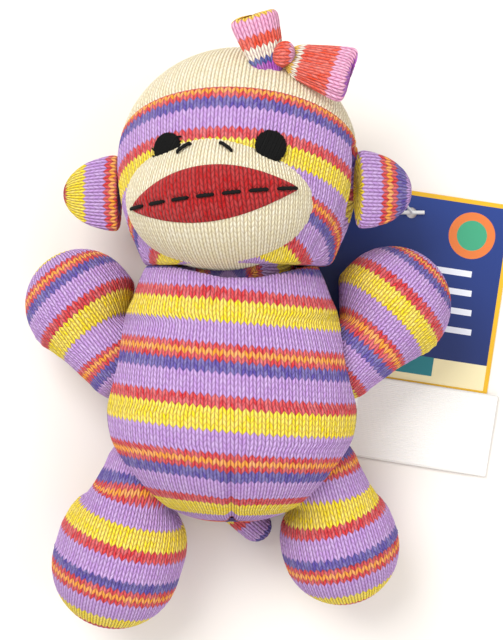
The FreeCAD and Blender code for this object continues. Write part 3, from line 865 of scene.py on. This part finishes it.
def make_eye(node, seed):
    random = np.random.default_rng(seed)
    points = node_points(node)
    middle = points.mean(axis=0)
    outward = np.linalg.svd(points - middle, full_matrices=False)[2][2]
    outward = outward * np.sign(outward @ FACE_FRONT)
    side = np.cross(Y_WAY, outward)
    side /= np.linalg.norm(side)
    up = np.cross(outward, side)
    base = middle - outward * EYE_SINK
    paths = []
    for layer, angle in enumerate(EYE_ANGLES):
        way = math.cos(angle) * side + math.sin(angle) * up
        aside = -math.sin(angle) * side + math.cos(angle) * up
        for place in np.linspace(-0.93, 0.93, EYE_STRANDS):
            place = place + random.uniform(-0.03, 0.03)
            half = math.sqrt(max(1 - place ** 2, 0.02)) * random.uniform(0.95, 1.08)
            share = np.linspace(-half, half, 9)
            height = np.sqrt(np.maximum(1 - 0.86 * (share ** 2 + place ** 2), 0.0))
            lift = EYE_RISE * height + layer * EYE_LAYER
            paths.append(base + EYE_RADIUS * (share[:, None] * way + place * aside)
                         + lift[:, None] * outward)
    for _ in range(LOOSE_ENDS):
        angle = random.uniform(0, 2 * math.pi)
        way = math.cos(angle) * side + math.sin(angle) * up
        share = np.linspace(0, 1, 9)[:, None]
        curl = LOOSE_CURL * np.sin(share * 3)
        paths.append(base + way * EYE_RADIUS * (0.5 + 0.75 * share) + np.cross(outward, way) * curl
                     + outward * EYE_RISE * (1.1 - share * 0.8))
    mesh = threads_mesh(node + "_thread", paths, EYE_STRAND_RADIUS, 5)
    add_piece(mesh, "head", [node], black_embroidery)


make_eye("right_eye", 3)
make_eye("left_eye", 8)

# ================================================================ ears
# Two flat half-round ears of striped knit round a little wadding, sewn to the head's sides.
EAR_STRIPES = {"right_ear": (10.0, 1), "left_ear": (21.0, -1)}


def make_ear(name, first_row, way):
    nodes = [name + "_front_panel", name + "_back_panel", name + "_wadding"]
    cloud = node_points(*nodes)
    root = np.array(joint_place(name + "_fold"))
    outward = cloud.mean(axis=0) - root
    outward[1] = 0
    axes = body_axes(outward, np.cross(Y_WAY, outward) * (1 if outward[0] < 0 else -1))
    middle, half = sizes_of(cloud, axes)
    points = wrap(nodes, middle, axes, half + 0.5 * MM, passes=3)
    shaped, front, back = knitted(points, first_row, way=way, narrowing=0.5,
                                  seam_depth=0.5 * MM, depth=FINE_RELIEF)
    mesh = grid_mesh(name, shaped, front, back)
    add_piece(mesh, name, nodes, striped_knit)


for ear, (row, way) in EAR_STRIPES.items():
    make_ear(ear, row, way)

# ================================================================ tail
# A thin stuffed tube of the same knit that comes out behind the crotch.
TAIL_STRIPE_START = 14.0


def make_tail():
    nodes = ["tail_skin", "tail_stuffing"]
    cloud = node_points(*nodes)
    root = np.array(joint_place("tail_swing"))
    tip = cloud[np.linalg.norm(cloud - root, axis=1).argmax()]
    axes = body_axes(tip - root, Z_WAY)
    middle, half = sizes_of(cloud, axes)
    points = wrap(nodes, middle, axes, half)
    shaped, front, back = knitted(points, TAIL_STRIPE_START, narrowing=0.8, depth=FINE_RELIEF)
    mesh = grid_mesh("tail", shaped, front, back)
    add_piece(mesh, "tail", nodes, striped_knit)


make_tail()

# ================================================================ bow
# Two puffed loops and a knot of knit in many colours, sewn to the crown.
BOW_PINK = colour("F4A8CE")
BOW_RED = colour("F04A22")
BOW_CREAM = colour("FBF0DA")
BOW_BANDS = ((colour("FFD23A"), 2), (BOW_CREAM, 1), (BOW_RED, 6), (BOW_PINK, 3),
             (colour("B64CC8"), 4), (colour("3C4CA8"), 1), (BOW_CREAM, 2), (BOW_RED, 2),
             (BOW_PINK, 3))
BOW_LOOPS = {
    "bow_left_loop": dict(way=(0.95, -0.30), half=(10.5, 12.0, 5.5), place=(10.0, -7.5, 1.0),
                          first_row=-0.5),
    "bow_right_loop": dict(way=(-0.30, 0.95), half=(9.0, 11.5, 5.0), place=(-9.0, 0.0, 1.0),
                           first_row=12.5),
}
LOOP_RISE = 0.12               # how much the loops lean up from the crown
LOOP_LEAN = 0.35               # how much their flat side faces the crown's top
LOOP_PINCH = 0.42              # width at the knot, as a share of the far end
LOOP_WAVE = 0.25
LOOP_HOLLOW = 0.16
LOOP_CREASE = 0.2
KNOT_STRIPE_START = 4.0
KNOT_SHIFT = np.array((-2.0, -3.5, 1.5)) * MM
# The darker colour given with the bands tints the painted shade in the gaps between stitches.
bow_knit = knit_material("bow_knit", BOW_BANDS, pale=0.3, gap_shade=(0.46, 0.22, 0.34, 1.0))


def loop_points(middle, axes, half):
    """A flat puffed loop: pinched at the knot, square and a little hollow at its far end."""
    rows = int(2.2 * half[1] / MESH_STEP) + 8
    columns = 4 * int(4.4 * half[0] / MESH_STEP / 4)
    polar = np.linspace(0, math.pi, rows)[:, None]
    around = (-math.pi + 2 * math.pi * np.arange(columns) / columns)[None, :]
    share = -np.cos(polar)
    width = (LOOP_PINCH + (1 - LOOP_PINCH) * ((share + 1) / 2) ** 0.7) * np.sqrt(1 - share ** 8)
    puff = (0.5 + 0.5 * (share + 1) / 2) * np.sqrt(1 - share ** 4)
    aside = width * np.sin(around)
    flat = np.cos(around)
    crease = np.exp(-(aside / LOOP_CREASE) ** 2) * (1 - share) / 2 * 0.5
    edge = LOOP_WAVE * np.sin(around * 3) * ((share + 1) / 2) ** 2
    height = puff * flat * (1 - crease) + edge
    along = share - LOOP_HOLLOW * (1 - aside ** 2) * np.clip(share, 0, 1) ** 3
    local = np.stack((aside * half[0], along * half[1], height * half[2]), axis=-1)
    local[0] = local[0].mean(axis=0)
    local[-1] = local[-1].mean(axis=0)
    return middle + local @ axes


def add_bow_piece(node, points, first_row):
    shaped, front, back = knitted(points, first_row, narrowing=0.3, seam_depth=0.4 * MM,
                                  depth=FINE_RELIEF)
    mesh = grid_mesh(node + "_knit", shaped, front, back)
    add_piece(mesh, "bow", [node], bow_knit)


def make_bow():
    knot = node_points("bow_knot").mean(axis=0)
    for node, loop in BOW_LOOPS.items():
        middle = knot + np.array(loop["place"]) * MM
        axes = body_axes((*loop["way"], LOOP_RISE), Z_WAY + LOOP_LEAN * Y_WAY)
        points = loop_points(middle, axes, np.array(loop["half"]) * MM)
        add_bow_piece(node, points, loop["first_row"])
    cloud = node_points("bow_knot")
    axes = body_axes(X_WAY, Z_WAY)
    middle, half = sizes_of(cloud, axes)
    points = wrap(["bow_knot"], middle, axes, half, passes=2)
    add_bow_piece("bow_knot", points + KNOT_SHIFT, KNOT_STRIPE_START)


make_bow()

# ================================================================ swing tag and its pin
# A printed card hung from the left ear by a nylon tag pin; its print is plain shapes only.
# Sizes of the print are in millimetres from the middle of the card.
TAG_BLUE = colour("1B3A86")
TAG_DEEP = colour("0F2460")
TAG_GOLD = colour("E6B422")
TAG_CREAM = colour("F2E6B8")
TAG_TEAL = colour("1E7C86")
TAG_LINE = colour("E9EDF6")
NYLON = colour("F2F4F4")
TAG_TURN = math.radians(8.6)
TAG_HOLE_ABOVE = 27 * MM
TAG_FIELD = (0, 0, 35.4, 33.4)           # middle and half sizes of each printed block
TAG_FOOT = (0, -28.8, 35.4, 4.6)
TAG_CHIP = (4, -27.5, 12, 3.4)
TAG_FADE = 70
TAG_LINES = 4
BADGE_MIDDLE = (23, 22)
BADGE_DISCS = ((8.5, colour("E07A3A")), (5.5, colour("3FA47C")))


def printed_places(graph):
    """Distances across and up the card from its middle, in millimetres."""
    hole = joint_place("tag_swing")
    place = graph.node("ShaderNodeTexCoord", {}, (), "Object")
    turn = graph.node("ShaderNodeVectorRotate", {"rotation_type": "Z_AXIS"},
                      {"Vector": place, "Center": tuple(hole), "Angle": TAG_TURN})
    split = graph.nodes.new("ShaderNodeSeparateXYZ")
    graph.connect(split.inputs[0], turn)
    across = (Shade(graph, split.outputs[0]) - hole[0]) / MM
    up = (Shade(graph, split.outputs[1]) - (hole[1] - TAG_HOLE_ABOVE)) / MM
    return across, up


def printed_card():
    """Glossy card with a gold border, a foot, four plain bars and a round badge."""
    graph = Graph("printed_card")
    across, up = printed_places(graph)

    def block(x, y, half_x, half_y):
        outside_x = (across - x).math("ABSOLUTE") > half_x
        outside_y = (up - y).math("ABSOLUTE") > half_y
        return (1 - outside_x) * (1 - outside_y)

    field = graph.mix((up / TAG_FADE + 0.5).math("MAXIMUM", 0), TAG_DEEP, TAG_BLUE)
    ink = graph.mix(block(*TAG_FIELD), TAG_GOLD, field)
    ink = graph.mix(block(*TAG_FOOT), ink, TAG_CREAM)
    ink = graph.mix(block(*TAG_CHIP), ink, TAG_TEAL)
    for row in range(TAG_LINES):
        line = block(8 + 3 * row, 8 - 7 * row, 17 - 2 * row, 1.1)
        ink = graph.mix(line, ink, TAG_LINE)
    badge_x = across - BADGE_MIDDLE[0]
    badge_y = up - BADGE_MIDDLE[1]
    from_badge = (badge_x * badge_x + badge_y * badge_y).math("SQRT")
    for radius, shade in BADGE_DISCS:
        ink = graph.mix(1 - (from_badge > radius), ink, shade)
    graph.connect(graph.shader.inputs["Base Color"], ink)
    graph.shader.inputs["Roughness"].default_value = 0.35
    return graph.material


def clear_nylon():
    graph = Graph("clear_nylon")
    graph.shader.inputs["Base Color"].default_value = NYLON
    graph.shader.inputs["Roughness"].default_value = 0.3
    return graph.material


def make_tag():
    for name, material in (("swing_tag", printed_card()), ("tag_pin", clear_nylon())):
        slots = frame["nodes"][name].data.materials
        slots.clear()
        slots.append(material)


make_tag()

# ================================================================ care label
# A white satin ribbon that leaves the torso's side seam and lies on the surface.
LABEL_WIDTH = 30 * MM
LABEL_ROWS = 150
LABEL_COLUMNS = 60
LABEL_EDGE = 0.05 * MM
LABEL_HALF_SHARE = 0.498
LABEL_WAVE = 0.15 * MM
LABEL_WAVE_LENGTHS = (6 * MM, 9 * MM)
LABEL_RAY_TOP = 60 * MM
LABEL_HEM = 14.2               # millimetres from the middle to the hem
LABEL_THICKNESS = 0.3 * MM


def make_label():
    cloud = node_points("care_label")
    pivot = np.array(joint_place("label_fold"))
    way = cloud.mean(axis=0) - pivot
    way[2] = 0
    axes = body_axes(way, Z_WAY)
    side, along, _ = axes
    node = surface_of(["care_label"])
    local = (cloud - pivot) @ axes.T
    near = local[:, 1].min()
    far = local[:, 1].max()
    middle = (local[:, 0].min() + local[:, 0].max()) / 2
    lengths = np.linspace(near + LABEL_EDGE, far - LABEL_EDGE, LABEL_ROWS)
    shares = np.linspace(-LABEL_HALF_SHARE, LABEL_HALF_SHARE, LABEL_COLUMNS)
    widths = middle + shares * LABEL_WIDTH
    run_wave, aside_wave = LABEL_WAVE_LENGTHS
    grid = np.zeros((len(lengths), len(widths), 3))
    for row, run in enumerate(lengths):
        for column, aside in enumerate(widths):
            start = pivot + side * aside + along * run
            start[2] = LABEL_RAY_TOP
            hit = node.ray_cast(Vector(start), Vector((0, 0, -1)))[0]
            wave = LABEL_WAVE * math.sin(run / run_wave) * math.sin(aside / aside_wave)
            height = hit.z if hit else grid[row, column - 1, 2]
            grid[row, column] = (start[0], start[1], height + wave)
    layer = np.stack(np.meshgrid(widths / MM, lengths / MM), axis=-1)
    mesh = patch_mesh("care_label_satin", grid, layer)
    graph = Graph("white_satin_label")
    across, _ = graph.attribute("Knit")
    weave = (across * 9).math("SINE")
    hem = (across - middle / MM).math("ABSOLUTE") > LABEL_HEM
    tone = graph.mix(hem * 0.6, colour("F7F6F2"), colour("E2E0DA"))
    graph.connect(graph.shader.inputs["Base Color"], tone)
    graph.shader.inputs["Roughness"].default_value = 0.38
    graph.bump(weave, 0.03 * MM)
    piece = add_piece(mesh, "care_label", ["care_label"], graph.material)
    thick = piece.modifiers.new("thickness", "SOLIDIFY")
    thick.thickness = LABEL_THICKNESS
    thick.offset = -1


make_label()

# ================================================================ floor, lights and camera
# A plain pale surface with soft studio light from above; the camera looks straight down.
CAMERA_PLACE = (6.63 * MM, 30.6 * MM, 511 * MM)
CAMERA_LENS = 52.5
CAMERA_FILM = 24.0
CAMERA_NEAR = 0.01
FLOOR_HALF = 1.2
WORLD_COLOUR = (1.0, 0.98, 0.96, 1.0)
WORLD_STRENGTH = 0.55
LIGHTS = (("key", (-0.35, 0.45, 0.75), 0.55, 7.2), ("fill", (0.65, -0.05, 0.6), 0.7, 2.5),
          ("front", (0.0, -0.6, 0.55), 0.6, 1.6))


def make_stage():
    mesh = bpy.data.meshes.new("floor")
    side = FLOOR_HALF
    corners = [(-side, -side, 0), (side, -side, 0), (side, side, 0), (-side, side, 0)]
    mesh.from_pydata(corners, [], [(0, 1, 2, 3)])
    floor = bpy.data.objects.new("floor", mesh)
    bpy.context.scene.collection.objects.link(floor)
    graph = Graph("floor")
    graph.shader.inputs["Base Color"].default_value = colour("F3EEE8")
    graph.shader.inputs["Roughness"].default_value = 0.8
    mesh.materials.append(graph.material)


def make_lights():
    for name, place, size, power in LIGHTS:
        lamp = bpy.data.lights.new(name, "AREA")
        lamp.size = size
        lamp.energy = power
        lit = bpy.data.objects.new(name, lamp)
        lit.location = place
        lit.rotation_euler = (-Vector(place)).to_track_quat("-Z", "Y").to_euler()
        bpy.context.scene.collection.objects.link(lit)
    world = bpy.data.worlds.new("studio")
    world.use_nodes = True
    background = world.node_tree.nodes["Background"]
    background.inputs["Color"].default_value = WORLD_COLOUR
    background.inputs["Strength"].default_value = WORLD_STRENGTH
    bpy.context.scene.world = world


def make_camera():
    lens = bpy.data.cameras.new("camera")
    lens.sensor_fit = "VERTICAL"
    lens.sensor_height = CAMERA_FILM
    lens.lens = CAMERA_LENS
    lens.clip_start = CAMERA_NEAR
    camera = bpy.data.objects.new("camera", lens)
    camera.location = CAMERA_PLACE
    bpy.context.scene.collection.objects.link(camera)
    bpy.context.scene.camera = camera


make_stage()
make_lights()
make_camera()
bpy.context.scene.view_settings.view_transform = "Standard"
